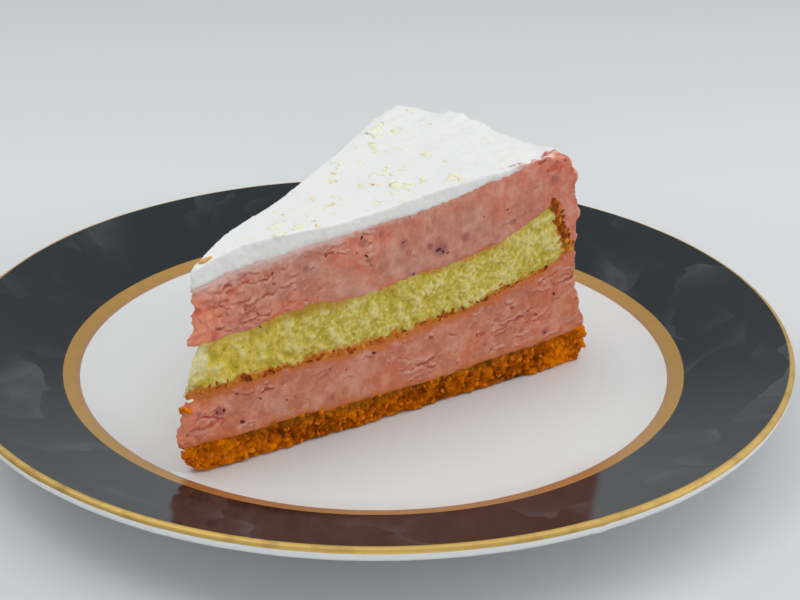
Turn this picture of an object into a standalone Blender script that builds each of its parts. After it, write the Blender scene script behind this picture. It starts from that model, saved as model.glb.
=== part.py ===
# A slice of strawberry cream cake on its dessert plate.
# The plate's centre is at the origin, its foot ring stands on z = 0, +Z is up.
# The slice's cut face looks towards -Y, its tip points to -X and -Y.
import math

import bmesh
import bpy
from mathutils import Vector

MM = 0.001                      # every size below is in millimetres
GAP = 0.3                       # left between faces that touch

# Plate, as radii and heights of its turned profile
FOOT_INNER_RADIUS = 52.0
FOOT_OUTER_RADIUS = 58.0
FOOT_FLAT_INSET = 1.2           # from either side of the foot to its flat
FOOT_HEIGHT = 2.5
WELL_FLOOR_HEIGHT = 7.0
WELL_FLAT_RADIUS = 66.0
VERGE_RADIUS = 74.2             # where the curve out of the well becomes the rim
VERGE_SLOPE = math.radians(18.4)
RIM_RADIUS = 103.0              # where the rim starts to round over
RIM_HEIGHT = 18.1
RIM_END_SLOPE = math.radians(18.8)
LIP_RADIUS = 104.45             # the widest part of the plate
LIP_DROP = 1.3                  # from the end of the rim to the widest part
LIP_THICKNESS = 3.1
VERGE_THICKNESS = 4.3
PLATE_SEGMENTS = 80
VERGE_STEPS = 4
RIM_STEPS = 7
LIP_STEPS = 3

# Slice: the tip's axis leans back along the near cut as it rises
TIP_START = (-44.2, -60.75)     # reference point on the plate under the tip
CUT_DIRECTION = math.radians(32.4)
WEDGE_ANGLE = math.radians(31.4)
TIP_SETBACK = -0.4              # tip's distance from the reference at the base
TIP_LEAN = 0.13                 # and how much that grows for each mm of height
TIP_BLUNTNESS = 1.5             # radius of the worn tip
WEDGE_STEPS = 8
LAYER_STEPS = 13

# Heights of the layer lines over the base's underside.
# Each pair is the distance from the reference point and the height there.
BASE_TOP = ((3, 7.4), (30, 6.9), (60, 6.4), (90, 7.3), (115, 9.0))
SPONGE_BOTTOM = ((4, 19.6), (38, 19.9), (60, 20.4), (80, 23.0), (95, 26.2), (109, 30.6))
SPONGE_TOP = ((5, 31.4), (20, 32.2), (32, 34.2), (45, 33.5), (67, 35.3), (87, 37.9), (95, 40.6), (104, 45.2))
MOUSSE_TOP = ((7, 44.8), (20, 47.5), (54, 50.1), (73, 52.2), (88, 55.0), (107, 56.4))
CREAM_TOP = ((7, 49.5), (19, 52.6), (45, 52.6), (60, 54.0), (75, 55.8), (107, 57.8))
# The outer side: height and distance from the reference point
OUTER_SIDE = ((0, 114.6), (4, 116.2), (9, 115.6), (14, 114.0), (20.5, 111.8), (31, 111.1),
              (41, 111.4), (49, 109.8), (54.5, 108.6), (57.5, 106.6))
OUTER_STEP = 3.0                # spacing of the points down the outer side
SPONGE_END = ((104.0, 45.2), (106.2, 40.0), (108.2, 35.0), (109.0, 30.6))
TIP_UNDERCUT = ((8.0, 0.0), (4.6, 1.4), (2.6, 4.0))       # the base is worn away under the tip


def start_empty():
    for item in list(bpy.data.objects):
        bpy.data.objects.remove(item, do_unlink=True)


def make_material(name, colour, roughness, metallic=0.0):
    material = bpy.data.materials.new(name)
    material.use_nodes = True
    shader = material.node_tree.nodes["Principled BSDF"]
    shader.inputs["Base Color"].default_value = (*colour, 1.0)
    shader.inputs["Roughness"].default_value = roughness
    shader.inputs["Metallic"].default_value = metallic
    return material


def make_object(name, mesh_builder, material, sharp_angle):
    mesh = bpy.data.meshes.new(name)
    bmesh.ops.recalc_face_normals(mesh_builder, faces=mesh_builder.faces)
    mesh_builder.to_mesh(mesh)
    mesh_builder.free()
    mesh.shade_smooth()
    mesh.set_sharp_from_angle(angle=sharp_angle)
    mesh.materials.append(material)
    item = bpy.data.objects.new(name, mesh)
    bpy.context.scene.collection.objects.link(item)
    return item


def hermite(start, end, start_slope, end_slope, width, part):
    # cubic from start to end over width, at part from 0 to 1
    square, cube = part * part, part * part * part
    return (start * (2 * cube - 3 * square + 1) + end * (3 * square - 2 * cube)
            + width * start_slope * (cube - 2 * square + part)
            + width * end_slope * (cube - square))


def height_at(line, distance):
    # smooth curve through the line's points, level with its end beyond them
    if distance <= line[0][0]:
        return line[0][1]
    if distance >= line[-1][0]:
        return line[-1][1]
    slopes = []
    for index in range(len(line)):
        before = line[max(index - 1, 0)]
        after = line[min(index + 1, len(line) - 1)]
        slopes.append((after[1] - before[1]) / (after[0] - before[0]))
    for index in range(len(line) - 1):
        (left, low), (right, high) = line[index], line[index + 1]
        if distance <= right:
            width = right - left
            return hermite(low, high, slopes[index], slopes[index + 1], width, (distance - left) / width)


def plate_profile():
    # radius and height pairs, from the well's centre out, round the lip and back underneath
    curve = (VERGE_RADIUS - WELL_FLAT_RADIUS) / math.sin(VERGE_SLOPE)
    top = [(0.0, WELL_FLOOR_HEIGHT), (WELL_FLAT_RADIUS, WELL_FLOOR_HEIGHT)]
    for step in range(1, VERGE_STEPS + 1):
        angle = VERGE_SLOPE * step / VERGE_STEPS
        top.append((WELL_FLAT_RADIUS + curve * math.sin(angle),
                    WELL_FLOOR_HEIGHT + curve * (1 - math.cos(angle))))
    verge_height = top[-1][1]
    width = RIM_RADIUS - VERGE_RADIUS
    for step in range(1, RIM_STEPS + 1):
        part = step / RIM_STEPS
        height = hermite(verge_height, RIM_HEIGHT, math.tan(VERGE_SLOPE), math.tan(RIM_END_SLOPE), width, part)
        top.append((VERGE_RADIUS + width * part, height))
    lip = []
    for step in range(1, LIP_STEPS + 1):
        angle = math.pi / 2 * step / LIP_STEPS
        lip.append((RIM_RADIUS + (LIP_RADIUS - RIM_RADIUS) * math.sin(angle),
                    RIM_HEIGHT - LIP_DROP * (1 - math.cos(angle))))
    under = []
    for radius, height in reversed(top[2:]):
        part = (radius - WELL_FLAT_RADIUS) / (RIM_RADIUS - WELL_FLAT_RADIUS)
        thickness = VERGE_THICKNESS + (LIP_THICKNESS - VERGE_THICKNESS) * part
        under.append((radius, height - thickness))
    foot = [(FOOT_OUTER_RADIUS + 1.6, FOOT_HEIGHT),
            (FOOT_OUTER_RADIUS, FOOT_HEIGHT / 2),
            (FOOT_OUTER_RADIUS - FOOT_FLAT_INSET, 0.0),
            (FOOT_INNER_RADIUS + FOOT_FLAT_INSET, 0.0),
            (FOOT_INNER_RADIUS, FOOT_HEIGHT / 2),
            (FOOT_INNER_RADIUS - 1.6, FOOT_HEIGHT),
            (0.0, FOOT_HEIGHT)]
    return top + lip + under + foot


def make_plate():
    builder = bmesh.new()
    rings = []
    for radius, height in plate_profile():
        if radius == 0.0:
            rings.append([builder.verts.new((0.0, 0.0, height * MM))])
            continue
        ring = []
        for segment in range(PLATE_SEGMENTS):
            angle = math.tau * segment / PLATE_SEGMENTS
            ring.append(builder.verts.new((radius * math.cos(angle) * MM,
                                           radius * math.sin(angle) * MM, height * MM)))
        rings.append(ring)
    for inner, outer in zip(rings, rings[1:]):
        for segment in range(PLATE_SEGMENTS):
            following = (segment + 1) % PLATE_SEGMENTS
            corners = [inner[segment % len(inner)], outer[segment % len(outer)],
                       outer[following % len(outer)], inner[following % len(inner)]]
            builder.faces.new(list(dict.fromkeys(corners)))
    glaze = make_material("plate_glaze", (0.70, 0.71, 0.70), 0.15)
    make_object("plate", builder, glaze, math.radians(35))


def tip_distance(height):
    return TIP_SETBACK + TIP_LEAN * height


def slice_point(distance, height, turn):
    # a point of the slice's outline, swung from the near cut round the tip's leaning axis
    reach = distance - tip_distance(height)
    along = Vector((math.cos(CUT_DIRECTION), math.sin(CUT_DIRECTION)))
    swung = Vector((math.cos(CUT_DIRECTION + turn), math.sin(CUT_DIRECTION + turn)))
    flat = Vector(TIP_START) + along * tip_distance(height) + swung * reach
    return Vector((flat.x, flat.y, height + WELL_FLOOR_HEIGHT + GAP)) * MM


def line_points(line, shift, start, end):
    # evenly spaced points along a layer line that is moved up by shift
    points = []
    for step in range(LAYER_STEPS + 1):
        distance = start + (end - start) * step / LAYER_STEPS
        points.append((distance, height_at(line, distance) + shift))
    return points


def tip_start(line, shift):
    # where a layer line meets the worn tip
    height = line[0][1] + shift
    return tip_distance(height) + TIP_BLUNTNESS


def outer_points(low, high):
    # points up the outer side between two heights, both ends included
    count = max(1, round((high - low) / OUTER_STEP))
    heights = [low + (high - low) * step / count for step in range(count + 1)]
    return [(height_at(OUTER_SIDE, height), height) for height in heights]


def make_layer(name, outline, material):
    builder = bmesh.new()
    sections = []
    for step in range(WEDGE_STEPS + 1):
        turn = WEDGE_ANGLE * step / WEDGE_STEPS
        sections.append([builder.verts.new(slice_point(distance, height, turn))
                         for distance, height in outline])
    for here, there in zip(sections, sections[1:]):
        for index in range(len(outline)):
            following = (index + 1) % len(outline)
            builder.faces.new((here[index], there[index], there[following], here[following]))
    builder.faces.new(sections[0])
    builder.faces.new(list(reversed(sections[-1])))
    make_object(name, builder, material, math.radians(30))


def make_crumb_base():
    top = line_points(BASE_TOP, -GAP / 2, tip_start(BASE_TOP, -GAP / 2), 113.0)
    side = outer_points(0.0, height_at(BASE_TOP, 115.0) - GAP / 2)
    outline = list(TIP_UNDERCUT) + top + list(reversed(side))
    make_layer("crumb_base", outline, make_material("biscuit_crumb", (0.50, 0.20, 0.03), 0.85))


def make_lower_mousse():
    bottom = line_points(BASE_TOP, GAP / 2, tip_start(BASE_TOP, GAP / 2), 113.0)
    top = line_points(SPONGE_BOTTOM, -GAP / 2, tip_start(SPONGE_BOTTOM, -GAP / 2), 109.0)
    side = outer_points(height_at(BASE_TOP, 115.0) + GAP / 2, SPONGE_BOTTOM[-1][1] - GAP / 2)
    outline = bottom + side + list(reversed(top))
    make_layer("lower_mousse", outline, make_material("strawberry_mousse", (0.50, 0.18, 0.15), 0.55))


def make_sponge():
    bottom = line_points(SPONGE_BOTTOM, GAP / 2, tip_start(SPONGE_BOTTOM, GAP / 2), 107.0)
    top = line_points(SPONGE_TOP, -GAP / 2, tip_start(SPONGE_TOP, -GAP / 2), 103.0)
    end = [(SPONGE_END[-1][0], SPONGE_END[-1][1] + GAP / 2)]
    end += list(reversed(SPONGE_END[1:-1]))
    end += [(SPONGE_END[0][0], SPONGE_END[0][1] - GAP / 2)]
    make_layer("sponge", bottom + end + list(reversed(top)),
               make_material("yellow_sponge", (0.62, 0.53, 0.18), 0.90))


def make_upper_mousse():
    # the mousse over the sponge, with the skin that comes down round the sponge's outer end
    bottom = line_points(SPONGE_TOP, GAP / 2, tip_start(SPONGE_TOP, GAP / 2), SPONGE_END[0][0])
    skin = [(distance + GAP, height) for distance, height in SPONGE_END[1:-1]]
    skin += [(SPONGE_END[-1][0] + GAP, SPONGE_END[-1][1] + GAP / 2)]
    side = outer_points(SPONGE_END[-1][1] + GAP / 2, MOUSSE_TOP[-1][1] - GAP / 2)
    top = line_points(MOUSSE_TOP, -GAP / 2, tip_start(MOUSSE_TOP, -GAP / 2), 105.0)
    make_layer("upper_mousse", bottom + skin + side + list(reversed(top)),
               make_material("strawberry_mousse_top", (0.50, 0.18, 0.15), 0.55))


def make_cream_top():
    bottom = line_points(MOUSSE_TOP, GAP / 2, tip_start(MOUSSE_TOP, GAP / 2), 107.0)
    top = line_points(CREAM_TOP, 0.0, tip_start(CREAM_TOP, 0.0), 106.0)
    make_layer("cream_top", bottom + list(reversed(top)), make_material("whipped_cream", (0.85, 0.86, 0.85), 0.60))


start_empty()
make_plate()
make_crumb_base()
make_lower_mousse()
make_sponge()
make_upper_mousse()
make_cream_top()
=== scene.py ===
# Slice of strawberry cream cake on a dark rimmed plate.
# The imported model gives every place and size, this script makes the surfaces.
import math
import bmesh
import bpy
import numpy as np
from mathutils import Matrix, Vector
from mathutils.bvhtree import BVHTree
from mathutils.kdtree import KDTree
from types import SimpleNamespace


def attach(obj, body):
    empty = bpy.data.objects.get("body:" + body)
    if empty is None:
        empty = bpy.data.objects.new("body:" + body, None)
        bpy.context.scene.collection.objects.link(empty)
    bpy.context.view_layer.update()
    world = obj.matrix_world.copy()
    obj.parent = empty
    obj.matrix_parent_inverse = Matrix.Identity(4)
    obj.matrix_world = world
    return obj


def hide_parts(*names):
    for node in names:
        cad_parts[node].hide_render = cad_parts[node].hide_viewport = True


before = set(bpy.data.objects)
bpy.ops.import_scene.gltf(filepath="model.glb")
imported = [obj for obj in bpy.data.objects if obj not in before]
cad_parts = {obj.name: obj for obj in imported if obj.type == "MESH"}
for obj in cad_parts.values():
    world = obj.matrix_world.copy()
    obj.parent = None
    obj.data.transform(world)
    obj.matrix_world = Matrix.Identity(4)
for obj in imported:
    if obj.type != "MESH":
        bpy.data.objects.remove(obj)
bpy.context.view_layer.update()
mm = 0.001
print("frame loaded:", ", ".join(sorted(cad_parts)))


def cellHash(cells, seed):
    # one number from 0 to 1 for each cell of a grid
    n = cells[..., 0] * 374761393 + cells[..., 1] * 668265263
    n = n + cells[..., 2] * 1442695041 + seed * 974634777
    n = (n ^ (n >> 13)) * 1274126177
    n = n ^ (n >> 16)
    return (n & 0xFFFFFF) / float(0xFFFFFF)


def softNoise(points, seed):
    # smooth noise from -1 to 1
    cell = np.floor(points).astype(np.int64)
    part = points - cell
    part = part * part * (3 - 2 * part)
    total = np.zeros(len(points))
    for corner in np.ndindex(2, 2, 2):
        share = np.prod(np.where(np.array(corner) == 1, part, 1 - part), axis=1)
        total += share * cellHash(cell + np.array(corner), seed)
    return total * 2 - 1


def layeredNoise(points, octaves, seed):
    total = np.zeros(len(points))
    strength, reach = 1.0, 0.0
    for octave in range(octaves):
        total += strength * softNoise(points * 2 ** octave, seed + octave)
        reach += strength
        strength *= 0.5
    return total / reach


def lumpNoise(points, seed):
    # distance to the nearest and second nearest scattered point, and that nearest point's own number
    cell = np.floor(points).astype(np.int64)
    nearest = np.full(len(points), 9.0)
    second = np.full(len(points), 9.0)
    number = np.zeros(len(points))
    for step in np.ndindex(3, 3, 3):
        other = cell + np.array(step) - 1
        spot = np.stack([cellHash(other, seed + axis) for axis in range(3)], axis=1)
        away = np.linalg.norm(other + spot - points, axis=1)
        closer = away < nearest
        second = np.where(closer, nearest, np.minimum(second, away))
        number = np.where(closer, cellHash(other, seed + 7), number)
        nearest = np.where(closer, away, nearest)
    return nearest, second, number


def ease(low, high, value):
    # 0 below low, 1 above high, smooth between
    part = np.clip((value - low) / (high - low), 0, 1)
    return part * part * (3 - 2 * part)


def rounded(away):
    # the height of round lumps from the distance to their middles, about 0 on the whole
    return 0.38 - away ** 2


def sliceFrame():
    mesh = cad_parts["lower_mousse"].data
    sides = [p for p in mesh.polygons if abs(p.normal.z) < 0.05 and p.normal.y < -0.5]
    out = max(sides, key=lambda p: p.area).normal
    out = np.array([out.x, out.y, 0.0])
    out /= np.linalg.norm(out)
    along = np.array([-out[1], out[0], 0.0])
    corners = np.array([v.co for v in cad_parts["crumb_base"].data.vertices])
    return {"along": along, "out": out, "start": (corners @ along).min(),
            "face": (corners @ out).max(), "floor": corners[:, 2].min()}


cut = sliceFrame()


def readWedge():
    # the angle between the two cut faces
    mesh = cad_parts["lower_mousse"].data
    sides = [p for p in mesh.polygons if abs(p.normal.z) < 0.15 and p.normal.x < -0.5 and p.normal.y > 0]
    far = max(sides, key=lambda p: p.area).normal.copy()
    far.z = 0
    return 180 - math.degrees(far.angle(Vector(cut["out"])))


wedgeAngle = math.radians(readWedge())
farOut = -cut["along"] * math.sin(wedgeAngle) - cut["out"] * math.cos(wedgeAngle)      # off the far face
print("wedge angle", round(math.degrees(wedgeAngle), 1))


def sliceCoords(points):
    # millimetres along the cut from the tip, in from the cut face, and up from the slice's underside
    return np.stack([points @ cut["along"] - cut["start"],
                     cut["face"] - points @ cut["out"],
                     points[:, 2] - cut["floor"]], axis=1) / mm


def slicePoint(along, inward, height):
    place = cut["along"] * (cut["start"] + along * mm) + cut["out"] * (cut["face"] - inward * mm)
    return Vector((place[0], place[1], cut["floor"] + height * mm))


def reachOf(coords):
    # distance out from the slice's pointed tip, seen from above
    return np.hypot(coords[:, 0], coords[:, 1])


def addObject(name, data):
    item = bpy.data.objects.new(name, data)
    bpy.context.scene.collection.objects.link(item)
    return item


def evenMesh(nodeName, name, spacing):
    # a copy of a packed layer with small even faces
    item = addObject(name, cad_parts[nodeName].data.copy())
    even = item.modifiers.new("even", "REMESH")
    even.mode = "VOXEL"
    even.voxel_size = spacing * mm
    bpy.context.view_layer.update()
    fine = bpy.data.meshes.new_from_object(item.evaluated_get(bpy.context.evaluated_depsgraph_get()))
    item.modifiers.clear()
    item.data = fine
    fine.name = name
    fine.materials.clear()
    return item


def readPoints(mesh):
    points = np.zeros(len(mesh.vertices) * 3, np.float32)
    mesh.vertices.foreach_get("co", points)
    return points.reshape(-1, 3).astype(float)


def readNormals(mesh):
    normals = np.zeros(len(mesh.vertices) * 3, np.float32)
    mesh.vertex_normals.foreach_get("vector", normals)
    return normals.reshape(-1, 3).astype(float)


def writePoints(mesh, points):
    mesh.vertices.foreach_set("co", points.astype(np.float32).ravel())
    mesh.update()


def writeMask(mesh, name, values):
    layer = mesh.attributes.new(name, "FLOAT", "POINT")
    layer.data.foreach_set("value", np.clip(values, 0, 1).astype(np.float32))


def dropHidden(item, hidden):
    # where a layer lies on its neighbour only its edge shows, so the middle becomes a few large faces
    builder = bmesh.new()
    builder.from_mesh(item.data)
    builder.verts.ensure_lookup_table()
    bmesh.ops.delete(builder, geom=[builder.verts[i] for i in np.nonzero(hidden)[0]], context="VERTS")
    edges = [e for e in builder.edges if e.is_boundary]
    filled = bmesh.ops.holes_fill(builder, edges=edges, sides=0)["faces"]
    bmesh.ops.triangulate(builder, faces=filled)
    builder.to_mesh(item.data)
    builder.free()
    item.data.update()


def layerDepths(item, nodeName):
    # how far each point is below the top and above the underside of its packed layer, in millimetres
    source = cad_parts[nodeName].data
    tree = BVHTree.FromPolygons([v.co for v in source.vertices], [p.vertices for p in source.polygons])
    up = Vector((0, 0, 1))
    below, above = [], []
    for vertex in item.data.vertices:
        start = vertex.co - vertex.normal * 0.5 * mm
        low, high = tree.ray_cast(start, -up)[0], tree.ray_cast(start, up)[0]
        below.append(99.0 if low is None else (vertex.co.z - low.z) / mm)
        above.append(99.0 if high is None else (high.z - vertex.co.z) / mm)
    return np.maximum(below, 0), np.maximum(above, 0)


leans = {"outerEnd": 6.5, "farFace": 3.5, "tip": 8}      # mm that these lean in as they rise, at most


def edgeDistance(coords, nodeName):
    # distance of each point from the layer's outline as seen from above
    source = sliceCoords(readPoints(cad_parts[nodeName].data))
    inside = np.sin(wedgeAngle) * coords[:, 0] - np.cos(wedgeAngle) * coords[:, 1]
    limit = reachOf(source).max() - leans["outerEnd"]
    sides = np.minimum(coords[:, 1], inside - leans["farFace"])
    return np.minimum(sides, np.minimum(limit - reachOf(coords), coords[:, 0] - leans["tip"]))


def startLayer(nodeName, name, spacing):
    # a fine copy of a packed layer, with what its shape and colours are worked out from
    item = evenMesh(nodeName, name, spacing)
    below, above = layerDepths(item, nodeName)
    points, normals = readPoints(item.data), readNormals(item.data)
    coords = sliceCoords(points)
    return SimpleNamespace(item=item, points=points, normals=normals, coords=coords, reach=reachOf(coords),
                           below=below, above=above, level=np.abs(normals[:, 2]),
                           edge=edgeDistance(coords, nodeName))


def finishLayer(layer, masks, hidden, material):
    mesh = layer.item.data
    writePoints(mesh, layer.points)
    for key, values in masks.items():
        writeMask(mesh, key, values)
    dropHidden(layer.item, hidden)
    mesh.shade_smooth()
    mesh.materials.append(material)
    print(layer.item.name + ":", len(mesh.polygons), "faces")


borderSeeds = {"base": 11, "spongeBottom": 23, "spongeTop": 37, "cream": 53}
meetingLap = 0.42      # millimetres that a layer reaches into its neighbour, so that no gap shows


def wobble(coords, seed):
    # how far the border between two layers strays up or down, the same for both of them
    flat = coords * np.array([1.0, 1.0, 0.0])
    return 0.60 * layeredNoise(flat / 7.0, 2, seed) + 0.35 * layeredNoise(flat / 1.8 + 40, 2, seed + 5)


def facePush(coords):
    # the slow rise and fall of the sides, the same for every layer so that they stay flush
    return 0.38 * layeredNoise(coords / 13.0, 2, 901) + 0.22 * layeredNoise(coords / 4.5, 2, 905)


def moveBorders(layer, lowSeed, highSeed):
    if lowSeed:
        layer.points[:, 2] += wobble(layer.coords, lowSeed) * (1 - ease(0, 4, layer.below)) * mm
    if highSeed:
        layer.points[:, 2] += wobble(layer.coords, highSeed) * (1 - ease(0, 4, layer.above)) * mm


def tipDistance(layer):
    # distance from the slice's tip, which leans outward as it rises
    return layer.reach - 0.13 * layer.coords[:, 2]


def fray(layer, seed, extra=0.0):
    # the worn tip strays back and forth as it rises
    height = layer.coords * np.array([0.25, 0.25, 1.0])
    amount = (1 - ease(1.5, 8.0, tipDistance(layer))) * (extra + 1.3 * layeredNoise(height / 3.2, 2, seed))
    layer.points -= cut["along"] * (amount * mm)[:, None]


def cutTears(layer, weight, look, count, seed):
    # short level cuts in the sides, each a thin groove with a raised lip along one edge
    points, normals = layer.points, layer.normals
    draw = np.random.default_rng(seed)
    tree = KDTree(len(points))
    for index, point in enumerate(points):
        tree.insert(point, index)
    tree.balance()
    groove, lip = np.zeros(len(points)), np.zeros(len(points))
    for index in draw.choice(len(points), count, p=weight / weight.sum()):
        out = Vector((normals[index][0], normals[index][1], 0)).normalized()
        level = Vector((0, 0, 1)).cross(out)
        if level.dot(Vector(cut["along"])) < 0:
            level = -level
        tilt = draw.normal(*look["tearTilt"])
        ahead = np.array(level * math.cos(tilt) + Vector((0, 0, 1)) * math.sin(tilt))
        across = np.array(Vector((0, 0, 1)) * math.cos(tilt) - level * math.sin(tilt))
        half = look["tearShort"] + (look["tearLong"] - look["tearShort"]) * draw.uniform() ** 2.2
        width, strength = look["tearThin"] + look["tearWiden"] * draw.uniform() ** 2, draw.uniform(0.2, 1.0)
        bend, phase = draw.normal(0, look["tearBend"]), draw.uniform(0, 6)
        side = draw.choice((-1, 1), p=look["lipSides"])
        near = np.array([hit[1] for hit in tree.find_range(Vector(points[index]), (half + 1.5) * mm)])
        local = (points[near] - points[index]) / mm
        x, y = local @ ahead, local @ across
        y = y - bend * x * x / half - 0.16 * np.sin(x * 2.1 + phase) - 0.10 * np.sin(x * 5.3 + phase * 2)
        taper = np.sqrt(np.clip(1 - (x / half) ** 2, 0, 1))
        line = (1 - ease(width * 0.35, width, np.abs(y) / (0.35 + 0.65 * taper))) * ease(0, 0.4, taper)
        fold = ease(0, width * 1.2, y * side) * (1 - ease(width * 1.5, width * 1.5 + 0.9, y * side)) * taper
        facing = ease(0.2, 0.7, normals[near] @ np.array(out))
        groove[near] = np.maximum(groove[near], line * facing * strength)
        lip[near] = np.maximum(lip[near], fold * facing * draw.uniform(0.2, 1.0))
    return groove, lip * (1 - groove)


def newMaterial(name, roughness=0.5, metallic=0.0):
    material = bpy.data.materials.new(name)
    material.use_nodes = True
    tree = material.node_tree
    shader = tree.nodes["Principled BSDF"]
    shader.inputs["Roughness"].default_value = roughness
    shader.inputs["Metallic"].default_value = metallic
    return material, tree, shader


def letLightIn(shader, weight, radius, depth):
    # depth is in millimetres
    shader.inputs["Subsurface Weight"].default_value = weight
    shader.inputs["Subsurface Radius"].default_value = radius
    shader.inputs["Subsurface Scale"].default_value = depth * mm


def addNode(tree, kind, values=None, **settings):
    node = tree.nodes.new(kind)
    for key, value in settings.items():
        setattr(node, key, value)
    for key, value in (values or {}).items():
        socket = node.inputs[key]
        if isinstance(value, bpy.types.NodeSocket):
            tree.links.new(value, socket)
        else:
            socket.default_value = value
    return node


def objectCoords(tree, stretch=(1, 1, 1)):
    place = addNode(tree, "ShaderNodeTexCoord")
    mapped = addNode(tree, "ShaderNodeMapping", {"Vector": place.outputs["Object"], "Scale": stretch})
    return mapped.outputs["Vector"]


def noiseNode(tree, coords, size, detail=3.0, rough=0.5):
    # size is that of one patch, in millimetres
    node = addNode(tree, "ShaderNodeTexNoise",
                   {"Vector": coords, "Scale": 1000.0 / size, "Detail": detail, "Roughness": rough})
    return node.outputs["Fac"]


def rampNode(tree, value, stops):
    node = addNode(tree, "ShaderNodeValToRGB", {"Fac": value})
    ramp = node.color_ramp
    while len(ramp.elements) < len(stops):
        ramp.elements.new(0.5)
    for element, (place, colour) in zip(ramp.elements, stops):
        element.position = place
        element.color = (*colour, 1.0)
    return node.outputs["Color"]


def mixColour(tree, share, first, second):
    node = addNode(tree, "ShaderNodeMix", data_type="RGBA")
    for socket, value in ((node.inputs[0], share), (node.inputs[6], first), (node.inputs[7], second)):
        if isinstance(value, bpy.types.NodeSocket):
            tree.links.new(value, socket)
        elif isinstance(value, tuple):
            socket.default_value = (*value, 1.0)
        else:
            socket.default_value = value
    return node.outputs[2]


def mathNode(tree, operation, first, second=0.0, clamp=False):
    node = addNode(tree, "ShaderNodeMath", operation=operation, use_clamp=clamp)
    for socket, value in zip(node.inputs, (first, second)):
        if isinstance(value, bpy.types.NodeSocket):
            tree.links.new(value, socket)
        else:
            socket.default_value = value
    return node.outputs[0]


def rangeNode(tree, value, low, high, bottom=0.0, top=1.0):
    node = addNode(tree, "ShaderNodeMapRange",
                   {"Value": value, "From Min": low, "From Max": high, "To Min": bottom, "To Max": top})
    return node.outputs["Result"]


def maskNode(tree, name):
    return addNode(tree, "ShaderNodeAttribute", attribute_name=name).outputs["Fac"]


def bumpNode(tree, height, strength, depth, before=None):
    node = addNode(tree, "ShaderNodeBump", {"Height": height, "Strength": strength, "Distance": depth * mm})
    if before is not None:
        tree.links.new(before, node.inputs["Normal"])
    return node.outputs["Normal"]


def joinColour(tree, shader, colour, normal=None):
    tree.links.new(colour, shader.inputs["Base Color"])
    if normal is not None:
        tree.links.new(normal, shader.inputs["Normal"])


plateLook = {
    "segments": 288, "wellSteps": 13, "bandSteps": 3, "rimSteps": 14, "lipSteps": 14,
    "wellFlat": 66.0, "verge": 74.2, "bandOut": 78.26, "rimEnd": 103.0,      # radii in mm
    "lipInner": 102.6, "lipOuter": 104.2, "lipRadius": 104,
    "underLip": ((104.42, 0.5), (104.25, 1.0), (103.8, 1.6)),      # radius and drop below the widest ring
    "rimSoften": 0.093,                         # outward lean of the rim's shading, as a share
    "goldEnds": 80.0,                           # degrees round the lip from its top
    "nickAt": -64.2, "nickWide": 1.6, "nickDeep": 0.6,      # degrees round the plate, then mm
    "lipWaver": 0.14, "waverSize": 9.0,         # mm up and down along the lip
    "glaze": (0.755, 0.782, 0.784),
    "band": (0.71, 0.41, 0.115), "bandInner": (0.66, 0.37, 0.20), "bandWorn": (0.50, 0.28, 0.09),
    "rimDark": (0.006, 0.0120, 0.0160), "rimPale": (0.060, 0.074, 0.083),
    "petal": 26.0, "smallPetal": 13.0,
    "lipGold": (0.60, 0.400, 0.115), "lipWorn": (0.42, 0.26, 0.07),
}


def readProfile():
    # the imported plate's turned outline, as radius and height, walked along its own edges
    builder = bmesh.new()
    builder.from_mesh(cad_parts["plate"].data)
    bmesh.ops.remove_doubles(builder, verts=builder.verts, dist=1e-6)
    row = [v for v in builder.verts if abs(v.co.y) < 1e-6 and v.co.x >= -1e-7]
    here = min((v for v in row if v.co.z > 5 * mm), key=lambda v: v.co.x)
    outline, seen = [(0.0, here.co.z / mm)], set()
    while here is not None:
        outline.append((here.co.x / mm, here.co.z / mm))
        seen.add(here)
        ahead = [e.other_vert(here) for e in here.link_edges if e.other_vert(here) in row]
        ahead = [v for v in ahead if v not in seen]
        here = min(ahead, key=lambda v: (v.co - here.co).length) if ahead else None
    builder.free()
    outline.append((0.0, outline[-1][1]))
    return outline


def turnedMesh(name, outline, zones, segments):
    # outline runs from the middle of the top out and back under, zones name each ring's material
    angles = np.linspace(0, math.tau, segments, endpoint=False)
    points, faces, slots = [(0, 0, outline[0][1] * mm)], [], []
    rings = [[0] * segments]
    for radius, height in outline[1:-1]:
        first = len(points)
        points += [(radius * mm * math.cos(a), radius * mm * math.sin(a), height * mm) for a in angles]
        rings.append(list(range(first, first + segments)))
    points.append((0, 0, outline[-1][1] * mm))
    rings.append([len(points) - 1] * segments)
    for inner, outer, zone in zip(rings, rings[1:], zones):
        for i in range(segments):
            j = (i + 1) % segments
            corners = list(dict.fromkeys([inner[i], outer[i], outer[j], inner[j]]))
            faces.append(corners)
            slots.append(zone)
    mesh = bpy.data.meshes.new(name)
    mesh.from_pydata(points, [], faces)
    mesh.polygons.foreach_set("material_index", slots)
    mesh.shade_smooth()
    return mesh


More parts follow.
